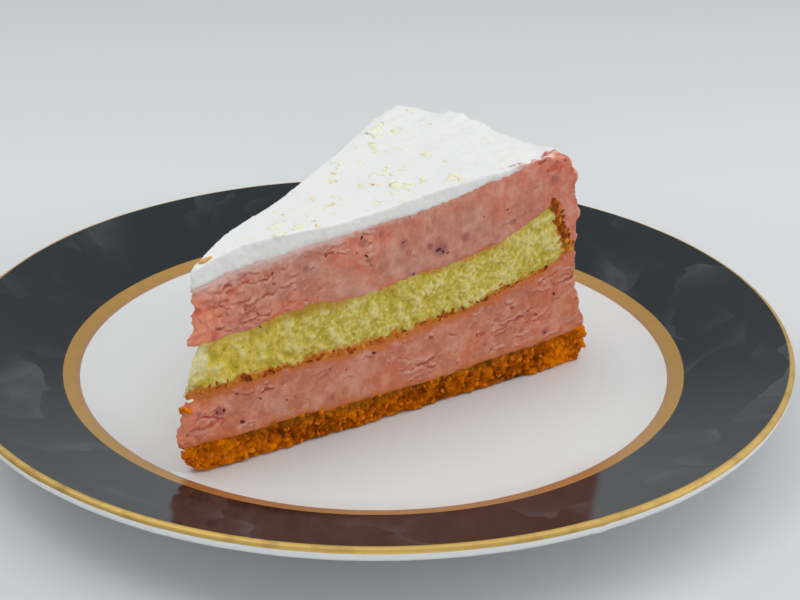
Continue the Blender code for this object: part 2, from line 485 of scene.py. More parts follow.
def plateOutline():
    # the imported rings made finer: a smooth curve out of the well, a straight rim and a rounded lip
    look = plateLook
    rings = readProfile()
    widest = max(range(len(rings)), key=lambda k: rings[k][0])
    top = rings[:widest + 1]
    heights = {name: np.interp(look[name], [p[0] for p in top], [p[1] for p in top])
               for name in ("wellFlat", "verge", "rimEnd")}
    slope = (heights["rimEnd"] - heights["verge"]) / (look["rimEnd"] - look["verge"])
    outline, zones = [(0.0, heights["wellFlat"]), (look["wellFlat"], heights["wellFlat"])], [0]
    width = look["verge"] - look["wellFlat"]
    for t in np.linspace(0, 1, look["wellSteps"])[1:]:
        rise = heights["verge"] - heights["wellFlat"]
        height = (3 * t ** 2 - 2 * t ** 3) * rise + (t ** 3 - t ** 2) * width * slope
        outline.append((look["wellFlat"] + width * t, heights["wellFlat"] + height))
        zones.append(0)
    for first, last, steps, zone in (("verge", "bandOut", look["bandSteps"], 1),
                                     ("bandOut", "rimEnd", look["rimSteps"], 2)):
        for t in (*np.linspace(0, 1, steps + 1)[1:-1], 0.995, 1.0):      # the last two keep its end crisp
            radius = look[first] + (look[last] - look[first]) * t
            outline.append((radius, heights["verge"] + (radius - look["verge"]) * slope))
            zones.append(zone)
    (endRadius, endHeight), (wideRadius, wideHeight) = outline[-1], rings[widest]
    for angle in np.radians(np.linspace(0, 90, look["lipSteps"])[1:]):
        outline.append((endRadius + (wideRadius - endRadius) * math.sin(angle),
                        endHeight - (endHeight - wideHeight) * (1 - math.cos(angle))))
        zones.append(3 if angle < math.radians(look["goldEnds"]) else 0)
    for radius, drop in look["underLip"]:
        outline.append((radius, wideHeight - drop))
        zones.append(0)
    outline += rings[widest + 1:]
    zones += [0] * len(rings[widest + 1:])
    return outline, zones


def glazeMaterial():
    material, tree, shader = newMaterial("whiteGlaze", roughness=0.30)
    coords = objectCoords(tree)
    mottle = noiseNode(tree, coords, 30.0, 2.0)
    lighter = tuple(c * 1.02 for c in plateLook["glaze"])
    colour = rampNode(tree, mottle, [(0.3, plateLook["glaze"]), (0.7, lighter)])
    ripple = bumpNode(tree, noiseNode(tree, coords, 22.0, 1.0), 0.12, 0.3)
    shader.inputs["Specular IOR Level"].default_value = 0.35
    joinColour(tree, shader, colour, ripple)
    return material


def radiusNode(tree):
    place = addNode(tree, "ShaderNodeTexCoord")
    parts = addNode(tree, "ShaderNodeSeparateXYZ", {"Vector": place.outputs["Object"]})
    square = mathNode(tree, "ADD", mathNode(tree, "MULTIPLY", parts.outputs["X"], parts.outputs["X"]),
                      mathNode(tree, "MULTIPLY", parts.outputs["Y"], parts.outputs["Y"]))
    return mathNode(tree, "SQRT", square)


def bandMaterial():
    look = plateLook
    material, tree, shader = newMaterial("goldBand", roughness=0.36, metallic=0.75)
    reach = rangeNode(tree, radiusNode(tree), look["verge"] * mm, look["bandOut"] * mm)
    colour = rampNode(tree, reach, [(0.0, look["bandInner"]), (0.4, look["band"]), (1.0, look["band"])])
    wear = noiseNode(tree, objectCoords(tree), 3.0, 4.0)
    colour = mixColour(tree, rangeNode(tree, wear, 0.35, 0.75, 0.0, 0.25), colour, look["bandWorn"])
    joinColour(tree, shader, colour, bumpNode(tree, wear, 0.1, 0.05))
    return material


def petalNode(tree, coords, size, seed):
    # each cell fades from one side to the other, so cells meet in sharp curved edges like folded silk
    moved = addNode(tree, "ShaderNodeVectorMath", {0: coords, 1: (seed, seed * 0.7, 0)}, operation="ADD")
    cells = addNode(tree, "ShaderNodeTexVoronoi", {"Vector": moved.outputs[0], "Scale": 1000 / size})
    away = addNode(tree, "ShaderNodeVectorMath", {0: moved.outputs[0], 1: cells.outputs["Position"]},
                   operation="SUBTRACT")
    toward = addNode(tree, "ShaderNodeVectorMath", {0: cells.outputs["Color"], 1: (0.5, 0.5, 0.5)},
                     operation="SUBTRACT")
    slope = addNode(tree, "ShaderNodeVectorMath", {0: away.outputs[0], 1: toward.outputs[0]},
                    operation="DOT_PRODUCT")
    return rangeNode(tree, slope.outputs["Value"], 0.03 * size * mm, 0.30 * size * mm)


def rimMaterial():
    material, tree, shader = newMaterial("darkMarbledRim", roughness=0.125)
    coords = objectCoords(tree, (1, 1, 0))
    drift = addNode(tree, "ShaderNodeTexNoise", {"Vector": coords, "Scale": 42.0, "Detail": 2.0})
    warped = addNode(tree, "ShaderNodeVectorMath",
                     {0: drift.outputs["Color"], 1: (0.034, 0.034, 0.0), 2: coords},
                     operation="MULTIPLY_ADD")
    large = petalNode(tree, warped.outputs[0], plateLook["petal"], 0.31)
    small = petalNode(tree, warped.outputs[0], plateLook["smallPetal"], 0.83)
    patch = rangeNode(tree, noiseNode(tree, coords, 26.0, 2.0), 0.35, 0.70)
    large = mathNode(tree, "MULTIPLY", mathNode(tree, "POWER", large, 2.6), 0.75)
    small = mathNode(tree, "MULTIPLY", mathNode(tree, "POWER", small, 2.2), patch)
    strength = mathNode(tree, "ADD", large, mathNode(tree, "MULTIPLY", small, 0.60), clamp=True)
    clouds = rangeNode(tree, noiseNode(tree, coords, 7.0, 5.0, 0.6), 0.35, 0.8, 0.55, 1.3)
    strength = mathNode(tree, "MULTIPLY", strength, clouds, clamp=True)
    colour = rampNode(tree, strength, [(0.0, plateLook["rimDark"]), (1.0, plateLook["rimPale"])])
    shader.inputs["Specular IOR Level"].default_value = 0.5
    ripple = bumpNode(tree, noiseNode(tree, coords, 12.0, 2.0), 0.06, 0.10)
    joinColour(tree, shader, colour, ripple)
    return material


def lipMaterial():
    material, tree, shader = newMaterial("goldLip", roughness=0.48, metallic=0.65)
    coords = objectCoords(tree)
    worn = noiseNode(tree, coords, 6.0, 5.0)
    colour = mixColour(tree, rangeNode(tree, worn, 0.5, 0.72), plateLook["lipGold"], plateLook["lipWorn"])
    joinColour(tree, shader, colour)
    return material


def makePlate():
    look = plateLook
    outline, zones = plateOutline()
    mesh = turnedMesh("plateTurned", outline, zones, look["segments"])
    points = readPoints(mesh)
    edge = ease(look["lipInner"], look["lipOuter"], reachOf(points) / mm)
    waver = layeredNoise(points / mm / look["waverSize"], 3, 881)
    points[:, 2] += edge * look["lipWaver"] * waver * mm
    turned = np.radians(look["nickAt"]) - np.arctan2(points[:, 1], points[:, 0])
    nick = np.clip(1 - np.abs(turned) * look["lipRadius"] / look["nickWide"], 0, 1) * edge
    points[:, 2] -= nick * look["nickDeep"] * mm
    writePoints(mesh, points)
    reach = reachOf(points) / mm
    normals = readNormals(mesh)
    onRim = (reach > look["bandOut"] - 0.01) & (reach < look["rimEnd"] - 0.05) & (normals[:, 2] > 0.5)
    normals[:, :2] += onRim[:, None] * look["rimSoften"] * points[:, :2] / mm / np.maximum(reach, 1)[:, None]
    normals /= np.linalg.norm(normals, axis=1)[:, None]
    mesh.normals_split_custom_set_from_vertices(normals.tolist())
    for material in (glazeMaterial(), bandMaterial(), rimMaterial(), lipMaterial()):
        mesh.materials.append(material)
    item = addObject("dessertPlate", mesh)
    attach(item, "root")
    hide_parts("plate")
    print("plate:", len(outline), "rings")


mousseLook = {
    "spacing": {"upper_mousse": 0.335, "lower_mousse": 0.315},      # mm, as every size here
    "tears": {"upper_mousse": 200, "lower_mousse": 320},
    "tearShort": 0.4, "tearLong": 3.2, "tearDepth": 0.20, "lipHeight": 0.16,
    "tearThin": 0.20, "tearWiden": 0.45, "tearBend": 0.09,
    "tearTilt": (0.07, 0.20),      # middle and spread, in radians
    "lipSides": (0.3, 0.7),        # shares of the tears with their lip below and above
    "grainHeight": 0.14,
    "lobeSize": 3.6, "lobeHeight": {"upper_mousse": 1.0, "lower_mousse": 0.45},      # height as a share
    "tones": {"upper_mousse": {"cool": (0.58, 0.265, 0.200), "middle": (0.625, 0.262, 0.187),
                               "warm": (0.72, 0.200, 0.115)},
              "lower_mousse": {"cool": (0.59, 0.202, 0.114), "middle": (0.62, 0.208, 0.109),
                               "warm": (0.66, 0.182, 0.092)}},
    # painted light: the colour that makes the outer end and the tip look brightly lit
    "paintedGlow": (0.93, 0.315, 0.170),
    # pale is painted highlight where its mask sets it, on the cuts' lips and the upper outer corner; the
    # noise mottle and the dragged cream use it as plain colour
    "red": (0.62, 0.110, 0.060), "shadow": (0.45, 0.120, 0.075), "pale": (0.78, 0.42, 0.32),
    # the cut colour is painted shade inside the cuts, together with the mousse's redder inside colour
    "shadedCut": (0.40, 0.040, 0.025), "creamy": (0.72, 0.50, 0.44), "browned": (0.62, 0.160, 0.024),
    "berry": (0.28, 0.065, 0.075),
    # along the cut, height and width of the darker spots on its face
    "stains": ((16, 45.8, 2.6), (75.8, 41.8, 2.8), (89.5, 43.0, 2.6), (101.7, 51.4, 3.0),
               (68.8, 40.2, 4.2), (47.3, 46.6, 3.0), (58.5, 44.0, 3.0), (48.8, 42.0, 2.6),
               (9.8, 14.2, 3.4), (100.9, 11.0, 2.6)),
}


def mousseMaterial(name, tones):
    material, tree, shader = newMaterial(name, roughness=0.45)
    coords = objectCoords(tree)
    look = mousseLook
    colour = rampNode(tree, noiseNode(tree, coords, 13.0, 3.0),
                      [(0.34, tones["cool"]), (0.50, tones["middle"]), (0.66, tones["warm"])])
    warmth = mathNode(tree, "MULTIPLY", maskNode(tree, "warmth"), 0.85)
    colour = mixColour(tree, warmth, colour, tones["warm"])
    for size, share in ((5.5, 0.62), (2.4, 0.50), (0.9, 0.16)):
        noise = noiseNode(tree, coords, size, 3.0, 0.6)
        colour = mixColour(tree, rangeNode(tree, noise, 0.50, 0.74, 0.0, share), colour, look["pale"])
        colour = mixColour(tree, rangeNode(tree, noise, 0.50, 0.26, 0.0, share), colour, look["shadow"])
    streaks = noiseNode(tree, objectCoords(tree, (1, 1, 0.12)), 0.9, 3.0, 0.6)
    dragged = mathNode(tree, "MULTIPLY", rangeNode(tree, streaks, 0.48, 0.72), maskNode(tree, "drag"))
    colour = mixColour(tree, mathNode(tree, "MULTIPLY", dragged, 0.55), colour, look["pale"])
    # the cut mask paints shade into the cuts, the pale mask paints highlights on their lips and the upper
    # outer corner, the glow mask paints light on the outer end and tip
    for mask in ("paintedGlow", "red", "berry", "pale", "shadedCut", "creamy", "browned"):
        colour = mixColour(tree, maskNode(tree, mask), colour, look[mask])
    normal = bumpNode(tree, noise, 0.3, 0.20)
    normal = bumpNode(tree, noiseNode(tree, coords, 0.40, 3.0, 0.6), 0.25, 0.08, normal)
    letLightIn(shader, 0.12, (1.0, 0.35, 0.25), 1.2)
    shader.inputs["Specular IOR Level"].default_value = 0.38
    joinColour(tree, shader, colour, normal)
    return material


def shapeMousse(layer, nodeName, seed):
    # cuts and lumps in the sides and a frayed tip, returns where the cuts and their raised lips are
    look, coords, reach, upper = mousseLook, layer.coords, layer.reach, nodeName == "upper_mousse"
    weight = layer.side * (0.15 + ease(-0.3, 0.6, softNoise(coords / 12.0, seed + 11))) * (1 + layer.tip)
    weight *= 1.4 - 1.2 * ease(30, 80, reach) if upper else 0.8 + 1.2 * ease(60, 85, reach)
    tear, lip = cutTears(layer, weight * (layer.level < 0.5), look, look["tears"][nodeName], seed)
    inner = ease(0.0, 1.6, np.minimum(layer.below, layer.above))
    push = facePush(coords) + look["grainHeight"] * layeredNoise(coords / 1.5, 2, seed + 6) * inner
    push += lip * look["lipHeight"] - tear * look["tearDepth"]
    lobes = lumpNoise(coords / look["lobeSize"], seed + 9)[0]
    lobes = rounded(lobes) * 2.6 + 0.40 * layeredNoise(coords / 2.0, 3, seed + 13)
    push += layer.outer * look["lobeHeight"][nodeName] * lobes
    lumps = lumpNoise(coords * np.array([0.45, 0.45, 0.62]), seed + 17)[0]
    lumps = rounded(lumps) * 1.1 + 0.40 * layeredNoise(coords / 1.1, 2, seed + 19)
    push += layer.ragged * lumps * (0.4 + 0.6 * inner)
    layer.points += layer.normals * (push * layer.side * mm)[:, None]
    if upper:      # the top dips with the cream on it
        dip = np.maximum(outerDent(coords, reach.max()), 0) * ease(92, 102, reach)
        layer.points[:, 2] -= dip * (1 - ease(1.0, 5.0, layer.above)) * 2.0 * mm
    fray(layer, seed + 29, -0.9 if upper else 0.0)
    spikes = 0.8 * layeredNoise(coords / 1.2, 2, seed + 35)
    spikes = spikes + (0.7 * (1 - ease(0.3, 1.6, layer.below)) if upper else 0)
    layer.points -= cut["along"] * ((1 - ease(1, 5, tipDistance(layer))) * spikes * mm)[:, None]
    layer.points[:, 2] += np.sign(layer.normals[:, 2]) * ease(0.6, 0.9, layer.level) * meetingLap * mm
    return tear, lip


def mousseMasks(layer, seed, fine, tear, lip):
    # the colours that both layers of mousse share
    coords, reach = layer.coords, layer.reach
    ruddy = 0.75 * layer.ragged * ease(-0.1, 0.5, layeredNoise(coords / 2.2, 2, seed + 21))
    near, _, number = lumpNoise(coords / 8.5, seed + 27)
    berry = (1 - ease(0.03, 0.10 + 0.08 * number, near + 0.05 * fine)) * 0.6
    for along, height, width in mousseLook["stains"]:
        gap = np.linalg.norm(coords - np.array([along, 0.0, height]), axis=1)
        berry = np.maximum(berry, (1 - ease(0.2 * width, 0.6 * width, gap + 0.35 * fine)) * 0.55)
    # painted light: the tip and the outer end are painted brighter and peachier
    paintedGlow = (1 - ease(2, 13, tipDistance(layer))) * (0.55 + 0.6 * layeredNoise(coords / 2.5, 3, seed + 37))
    none = np.zeros(len(coords))
    # painted shade: the cuts are painted darker red; painted highlight: the raised lips beside them are
    # painted pale
    return {"shadedCut": tear * 0.95 * layer.side, "pale": lip * 0.85, "drag": none, "red": ruddy, "berry": berry,
            "creamy": none, "browned": none, "warmth": 0.5 * ease(80, 98, reach) + 0.5 * ease(97, 101, reach),
            "paintedGlow": np.maximum(paintedGlow, layer.outer * 0.95)}


def addUpperMasks(layer, masks, seed, fine):
    # cream drawn down the cut, a ruddy outer corner with a painted highlight along the top of the outer end,
    # and a browned edge by the sponge
    coords, reach, above, outer = layer.coords, layer.reach, layer.above, layer.outer
    masks["drag"] = (1 - ease(2.0, 9.0, above)) * ease(-0.1, 0.4, softNoise(coords / 11.0, seed + 25))
    corner = ease(96, 102, reach) * (1 - ease(2.0, 5.5, above)) * (1 - outer * 0.4)
    masks["red"] = np.maximum(masks["red"], corner * ease(-0.2, 0.3, fine))
    soften = 1.3 + 2.2 * (1 - ease(8, 50, reach))
    masks["creamy"] = (1 - ease(-0.3, soften, above + 1.1 * fine)) * 0.95 * (1 - ease(45, 75, reach))
    browned = (1 - ease(0.1, 1.3, layer.below + 0.8 * fine)) * 0.60
    browned *= ease(-0.10, 0.30, softNoise(coords / 6.0, 361)) * (1 - ease(100, 104, reach))
    gap, share = spongeGap(coords)
    past = -gap + 2.0 * fine + 1.0 * layeredNoise(coords / 3.0, 2, seed + 31)
    beside = ease(-0.25, -0.05, share) * (1 - ease(1.0, 1.12, share)) * ease(-3.0, -2.0, past)
    masks["browned"] = np.maximum(browned, beside * (1 - ease(0.4, 1.8, past)) * 0.95)
    warmth = 0.7 * layer.tip + ease(76, 94, reach) * (1 - ease(2, 10, above))
    masks["warmth"] = np.maximum(warmth, masks["warmth"])
    # painted highlight: the top of the outer end is painted pale
    masks["pale"] = np.maximum(masks["pale"], outer * (1 - ease(1.5, 6.0, above)) * 0.7)


def addLowerMasks(layer, masks, fine):
    # browned along the base and under the sponge
    coords, reach = layer.coords, layer.reach
    browned = (1 - ease(0.0, 2.0, layer.below + 0.8 * fine)) * 0.75
    reddened = layeredNoise(coords / 3.0, 3, 351)
    thick = 1.7 + 2.2 * reddened + 1.2 * (1 - ease(4, 18, reach))
    underSponge = (1 - ease(0.2 * thick, thick, layer.above + 0.9 * fine)) * (1 - ease(103, 106, reach))
    masks["browned"] = np.maximum(browned, underSponge * ease(-0.7, -0.2, reddened) * (0.95 + 0.3 * fine))
    masks["warmth"] = np.maximum(0.7 * layer.tip + ease(84, 100, reach), masks["warmth"])


def makeMousse(nodeName, name, seed, lowSeed, highSeed):
    look = mousseLook
    upper = nodeName == "upper_mousse"
    layer = startLayer(nodeName, name, look["spacing"][nodeName])
    layer.side = 1 - ease(0.55, 0.85, layer.level)
    layer.outer = ease(0.35, 0.7, layer.normals @ cut["along"])
    layer.tip = 1 - ease(6, 30, layer.reach)
    layer.ragged = (layer.tip if upper else 0.55 * layer.tip) * (1 - layer.outer)
    moveBorders(layer, lowSeed, highSeed)
    tear, lip = shapeMousse(layer, nodeName, seed)
    fine = layeredNoise(layer.coords / 1.3, 3, seed + 23)
    masks = mousseMasks(layer, seed, fine, tear, lip)
    if upper:
        addUpperMasks(layer, masks, seed, fine)
    else:
        addLowerMasks(layer, masks, fine)
    masks["pale"] = masks["pale"] * layer.side
    finishLayer(layer, masks, (layer.level > 0.9) & (layer.edge > 3.0),
                mousseMaterial(name + "Finish", look["tones"][nodeName]))
    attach(layer.item, "root")
    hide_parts(nodeName)
    return layer.item


spongeLook = {
    "spacing": 0.31, "clump": 3.2, "pore": 1.3,
    "softHeight": 0.60, "fineHeight": 0.34, "clumpHeight": 0.6, "poreDepth": 0.40,
    "bright": (0.82, 0.73, 0.310), "crumb": (0.69, 0.550, 0.115), "shade": (0.53, 0.420, 0.035),
    # gap is painted shade in the open pores
    "gap": (0.38, 0.30, 0.020), "lemon": (0.80, 0.60, 0.070), "pale": (0.90, 0.85, 0.52),
    "crust": (0.62, 0.170, 0.022), "amber": (0.84, 0.43, 0.060), "darkCrust": (0.24, 0.055, 0.006),
    "soaked": (0.56, 0.36, 0.060), "roasted": (0.44, 0.24, 0.028),
}


def spongeMaterial():
    look = spongeLook
    material, tree, shader = newMaterial("spongeCrumb", roughness=0.9)
    coords = objectCoords(tree)
    noise = noiseNode(tree, coords, 0.9, 4.0, 0.6)
    colour = rampNode(tree, noise, [(0.34, look["shade"]), (0.50, look["crumb"]), (0.66, look["bright"])])
    colour = mixColour(tree, maskNode(tree, "lemon"), colour, look["lemon"])
    # the low and high masks paint shade into the hollows and highlight onto the clumps
    colour = mixColour(tree, maskNode(tree, "low"), colour, look["shade"])
    colour = mixColour(tree, maskNode(tree, "high"), colour, look["bright"])
    for mask in ("pale", "gap", "soaked", "roasted", "crust", "amber", "darkCrust"):
        colour = mixColour(tree, maskNode(tree, mask), colour, look[mask])
    normal = bumpNode(tree, noise, 0.7, 0.35)
    normal = bumpNode(tree, noiseNode(tree, coords, 0.4, 4.0, 0.7), 0.5, 0.2, normal)
    letLightIn(shader, 0.12, (1.0, 0.8, 0.25), 1.2)
    shader.inputs["Specular IOR Level"].default_value = 0.12
    joinColour(tree, shader, colour, normal)
    return material


def readSpongeEnd():
    # the sponge's outer end leans in as it rises: its lowest and highest points and how far out they are
    coords = sliceCoords(readPoints(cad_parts["sponge"].data))
    reach, height = reachOf(coords), coords[:, 2]
    return SimpleNamespace(reach=reach, height=height, low=height[reach > reach.max() - 1.0].mean(),
                           high=height.max(), lowReach=reach.max(),
                           highReach=reach[height > height.max() - 0.4].max())


spongeEnd = readSpongeEnd()


def spongeGap(coords):
    # distance in from the sponge's outer end, and how far up that end, 0 to 1
    share = (coords[:, 2] - spongeEnd.low) / (spongeEnd.high - spongeEnd.low)
    limit = spongeEnd.lowReach + (spongeEnd.highReach - spongeEnd.lowReach) * np.clip(share, -0.6, 1)
    return limit - reachOf(coords), share


def spongeGrain(coords, below):
    # torn clumps, open pores and the soft unevenness between them
    look = spongeLook
    drift = np.stack([layeredNoise(coords / 2.0, 2, 301 + k) for k in range(3)], axis=1)
    clump = lumpNoise((coords + drift * 1.3) / look["clump"], 321)[0]
    pore, _, number = lumpNoise((coords + drift * 0.5) / look["pore"], 311)
    openness = 0.30 + 0.35 * (1 - ease(1.5, 6.0, below))
    return SimpleNamespace(clump=clump, pits=(number < openness) * (1 - ease(0.08, 0.34, pore)),
                           soft=layeredNoise(coords / 2.3, 3, 331), fine=layeredNoise(coords / 0.9, 2, 355),
                           wander=layeredNoise(coords / 3.0, 3, 351),
                           patchy=layeredNoise(coords / 2.0, 3, 357))


def spongeMasks(layer, grain, side, cutSide):
    coords, reach, below, above = layer.coords, layer.reach, layer.below, layer.above
    soft, fine, wander, patchy = grain.soft, grain.fine, grain.wander, grain.patchy
    thick = 0.7 + 1.0 * np.exp(-((reach - 40) / 26.0) ** 2) + 2.0 * wander + 0.8 * fine
    crust = (1 - ease(thick * 0.4, thick + 0.5, below)) * ease(-0.6, -0.1, wander)
    gap, share = spongeGap(coords)
    endGap = gap + 3.2 * wander + 1.6 * fine
    ends = 1 - ease(1.6, 2.6, endGap)
    topLine = (1 - ease(0.0, 1.1, above + 0.9 * fine)) * ease(-0.10, 0.30, softNoise(coords / 6.0, 361))
    darkLine = (1 - ease(0.0, 0.35, np.abs(below - thick + 0.2 * fine))) * ease(-0.2, 0.3, fine)
    darkEnd = np.maximum((1 - ease(0.2, 0.6, np.abs(endGap - 1.6))) * ease(-0.3, 0.1, patchy),
                         1 - ease(0.4, 1.6, gap + 1.6 * patchy - 0.8 * share))
    yellowEnd = ends * ease(0.15, 0.45, -patchy) * (1 - ease(0.3, 0.8, share))
    # painted light and shade: tone follows the same soft noise and clumps as the relief, so raised clumps are
    # painted lighter and hollows darker
    tone = 1.1 * soft + 0.45 * fine + 0.5 * (0.30 - grain.clump ** 2)
    tone = tone - 0.14 * np.exp(-((reach - 55) / 22.0) ** 2)
    roasted = (1 - ease(0.6, 2.6 + 1.5 * wander, above)) * np.exp(-((reach - 32) / 14.0) ** 2)
    soaked = np.maximum(1 - ease(0.3, 2.2 + wander, below), 1 - ease(0.0, 1.8 + wander, above))
    # painted shade: the gap mask darkens the open pores
    return {"gap": np.clip(grain.pits * 0.60, 0, 0.60) * side,
            "low": ease(0.05, 0.75, -tone) * 0.80 * side,
            "high": ease(0.05, 0.75, tone) * 0.80 * side,
            "lemon": (1 - ease(8, 40, reach)) * 0.7,
            "pale": (1 - ease(0.3, 4.0, tipDistance(layer) + 2.5 * wander)) * 0.8,
            "crust": np.maximum(np.maximum(crust, ends), topLine * 0.6) * 0.95 * cutSide,
            "amber": yellowEnd * 0.8 * cutSide,
            "darkCrust": np.maximum(darkLine * 0.6, darkEnd * 0.9) * cutSide,
            "roasted": roasted * ease(-0.5, 0.1, wander + 0.3) * 0.85 * cutSide,
            "soaked": soaked * 0.5 * cutSide}


def makeSponge():
    look = spongeLook
    layer = startLayer("sponge", "spongeLayer", look["spacing"])
    coords, below, normals = layer.coords, layer.below, layer.normals
    side = 1 - ease(0.6, 0.9, layer.level)
    flat = np.maximum(np.hypot(normals[:, 0], normals[:, 1]), 0.05)
    cutSide = ease(0.5, 0.9, np.abs(normals @ cut["out"]) / flat)
    moveBorders(layer, borderSeeds["spongeBottom"], borderSeeds["spongeTop"])
    grain = spongeGrain(coords, below)
    push = look["softHeight"] * grain.soft + look["fineHeight"] * grain.fine
    push = push + look["clumpHeight"] * rounded(grain.clump) - look["poreDepth"] * grain.pits
    push = facePush(coords) + push * (0.35 + 0.65 * ease(0.0, 1.5, np.minimum(below, layer.above)))
    layer.points += normals * (push * side * mm)[:, None]
    rise = below / np.maximum(below + layer.above, 0.1)
    slant = 0.7 - 2.9 * rise + 0.7 * layeredNoise(coords / 1.4, 2, 375)
    slant = slant + 0.9 * layeredNoise(coords / 3.4, 2, 377)
    layer.points -= cut["along"] * ((1 - ease(2, 9, tipDistance(layer))) * slant * mm)[:, None]
    layer.points[:, 2] += np.sign(normals[:, 2]) * ease(0.6, 0.9, layer.level) * meetingLap * mm
    finishLayer(layer, spongeMasks(layer, grain, side, cutSide), (layer.level > 0.9) & (layer.edge > 3.0),
                spongeMaterial())
    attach(layer.item, "root")
    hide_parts("sponge")
    return layer.item


baseLook = {
    "spacing": 0.31, "lump": 3.4, "grain": 1.25,
    "lumpStep": 0.8, "lumpHeight": 0.6, "seamDepth": 0.20,
    "grainStep": 0.35, "grainHeight": 0.30, "fineSeamDepth": 0.15,
    "swell": 0.6, "edgeInset": 0.4, "roughness": 0.20,
    "sink": 0.22,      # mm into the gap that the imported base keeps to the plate
    "bright": (0.90, 0.238, 0.0006), "middle": (0.46, 0.096, 0.0005), "dark": (0.13, 0.030, 0.0004),
    "toast": (0.28, 0.115, 0.008),
}


def baseMaterial():
    look = baseLook
    material, tree, shader = newMaterial("biscuitCrumb", roughness=0.8)
    coords = objectCoords(tree)
    noise = rangeNode(tree, noiseNode(tree, coords, 1.6, 3.0, 0.55), 0.2, 0.8, -0.34, 0.34)
    mixed = mathNode(tree, "ADD", maskNode(tree, "tone"), noise, clamp=True)
    colour = rampNode(tree, mixed, [(0.10, look["dark"]), (0.46, look["middle"]), (0.88, look["bright"])])
    # painted shade in the seams between lumps and grains
    colour = mixColour(tree, maskNode(tree, "gap"), colour, look["dark"])
    colour = mixColour(tree, maskNode(tree, "toast"), colour, look["toast"])
    normal = bumpNode(tree, noiseNode(tree, coords, 0.6, 4.0, 0.6), 0.4, 0.20)
    shader.inputs["Specular IOR Level"].default_value = 0.03
    joinColour(tree, shader, colour, normal)
    return material


def makeBase():
    look = baseLook
    layer = startLayer("crumb_base", "crumbBase", look["spacing"])
    coords, reach, below, above = layer.coords, layer.reach, layer.below, layer.above
    side = 1 - ease(0.6, 0.9, layer.level)
    moveBorders(layer, 0, borderSeeds["base"])
    drift = np.stack([layeredNoise(coords / 2.4, 2, 501 + k) for k in range(3)], axis=1)
    first, second, number = lumpNoise((coords + drift * 1.3) / look["lump"], 511)
    fineFirst, fineSecond, fineNumber = lumpNoise((coords + drift * 0.5) / look["grain"], 521)
    seam = 1 - ease(0.0, 0.30, second - first)
    fineSeam = 1 - ease(0.0, 0.30, fineSecond - fineFirst)
    push = look["lumpStep"] * (number - 0.5) + look["lumpHeight"] * rounded(first) - look["seamDepth"] * seam
    push += (look["grainStep"] * (fineNumber - 0.5) + look["grainHeight"] * rounded(fineFirst)
             - look["fineSeamDepth"] * fineSeam)
    inset = look["edgeInset"] * (1 - ease(0.3, 2.0, above))
    push += look["swell"] * layeredNoise(coords / 9.0, 2, 531) - inset
    push += look["roughness"] * layeredNoise(coords / 1.2, 2, 533)
    layer.points += layer.normals * (push * side * mm)[:, None]
    fray(layer, 551, 0.3)
    layer.points[:, 2] += ease(0.6, 0.9, layer.normals[:, 2]) * meetingLap * mm
    layer.points[:, 2] = np.maximum(layer.points[:, 2], cut["floor"] - look["sink"] * mm)
    wander = layeredNoise(coords / 4.0, 3, 541)
    # painted light: the tip and the outer end of the base are painted lighter through tone
    ends = np.maximum(1 - ease(4, 26, reach), 1.4 * ease(92, 110, reach))
    tone = 0.39 + 0.36 * (fineNumber - 0.5) + 0.30 * (number - 0.5) + 0.35 * wander + 0.33 * ends
    tone += 0.12 * (1 - ease(0, 4, below))
    # painted shade: the gap mask darkens the seams between lumps and grains
    masks = {"tone": tone, "gap": np.clip(seam * 0.30 + fineSeam * 0.20, 0, 0.5) * side,
             "toast": (1 - ease(0.3, 2.2 + 2.5 * wander, above)) * 0.55 * (1 - 0.8 * ends) * side}
    finishLayer(layer, masks, (layer.level > 0.9) & (layer.edge > 3.5), baseMaterial())
    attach(layer.item, "root")
    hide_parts("crumb_base")
    return layer.item


creamLook = {
    "spacing": 0.38,
    "topSwell": 0.10, "topGrain": 0.03, "sideSwell": 0.3, "sideGrain": 0.20,
    "dipDeep": 1.5, "dipWide": 7.0, "lumpHigh": 1.6, "cornerWide": 9.0, "cornerPull": 1.2,
    # the side colour is painted shading for the cream's sides
    "white": (0.865, 0.867, 0.848), "shade": (0.85, 0.853, 0.838), "paintedSideShade": (0.87, 0.875, 0.86),
    "tint": (0.82, 0.68, 0.66), "salmon": (0.76, 0.24, 0.13), "ruddy": (0.42, 0.06, 0.04),
}


def creamMaterial():
    look = creamLook
    material, tree, shader = newMaterial("whiteCream", roughness=0.55)
    coords = objectCoords(tree)
    clouds = noiseNode(tree, coords, 9.0, 3.0)
    colour = rampNode(tree, clouds, [(0.35, look["shade"]), (0.6, look["white"])])
    for mask in ("paintedSideShade", "tint", "salmon", "ruddy"):
        colour = mixColour(tree, maskNode(tree, mask), colour, look[mask])
    normal = bumpNode(tree, noiseNode(tree, coords, 1.6, 4.0, 0.6), 0.3, 0.25)
    letLightIn(shader, 0.15, (1.0, 0.9, 0.8), 1.5)
    shader.inputs["Specular IOR Level"].default_value = 0.3
    joinColour(tree, shader, colour, normal)
    return material


def outerDent(coords, limit):
    # how far the outer edge of the top dips, in millimetres, with one raised lump
    look = creamLook
    angle = np.degrees(np.arctan2(coords[:, 1], coords[:, 0]))
    dip = ease(1.5, 6, angle) * (1 - ease(12, 17, angle)) * look["dipDeep"]
    lump = ease(17.8, 19.3, angle) * (1 - ease(21, 23, angle)) * look["lumpHigh"]
    return (dip - lump) * np.clip(1 - (limit - reachOf(coords)) / look["dipWide"], 0, 1)


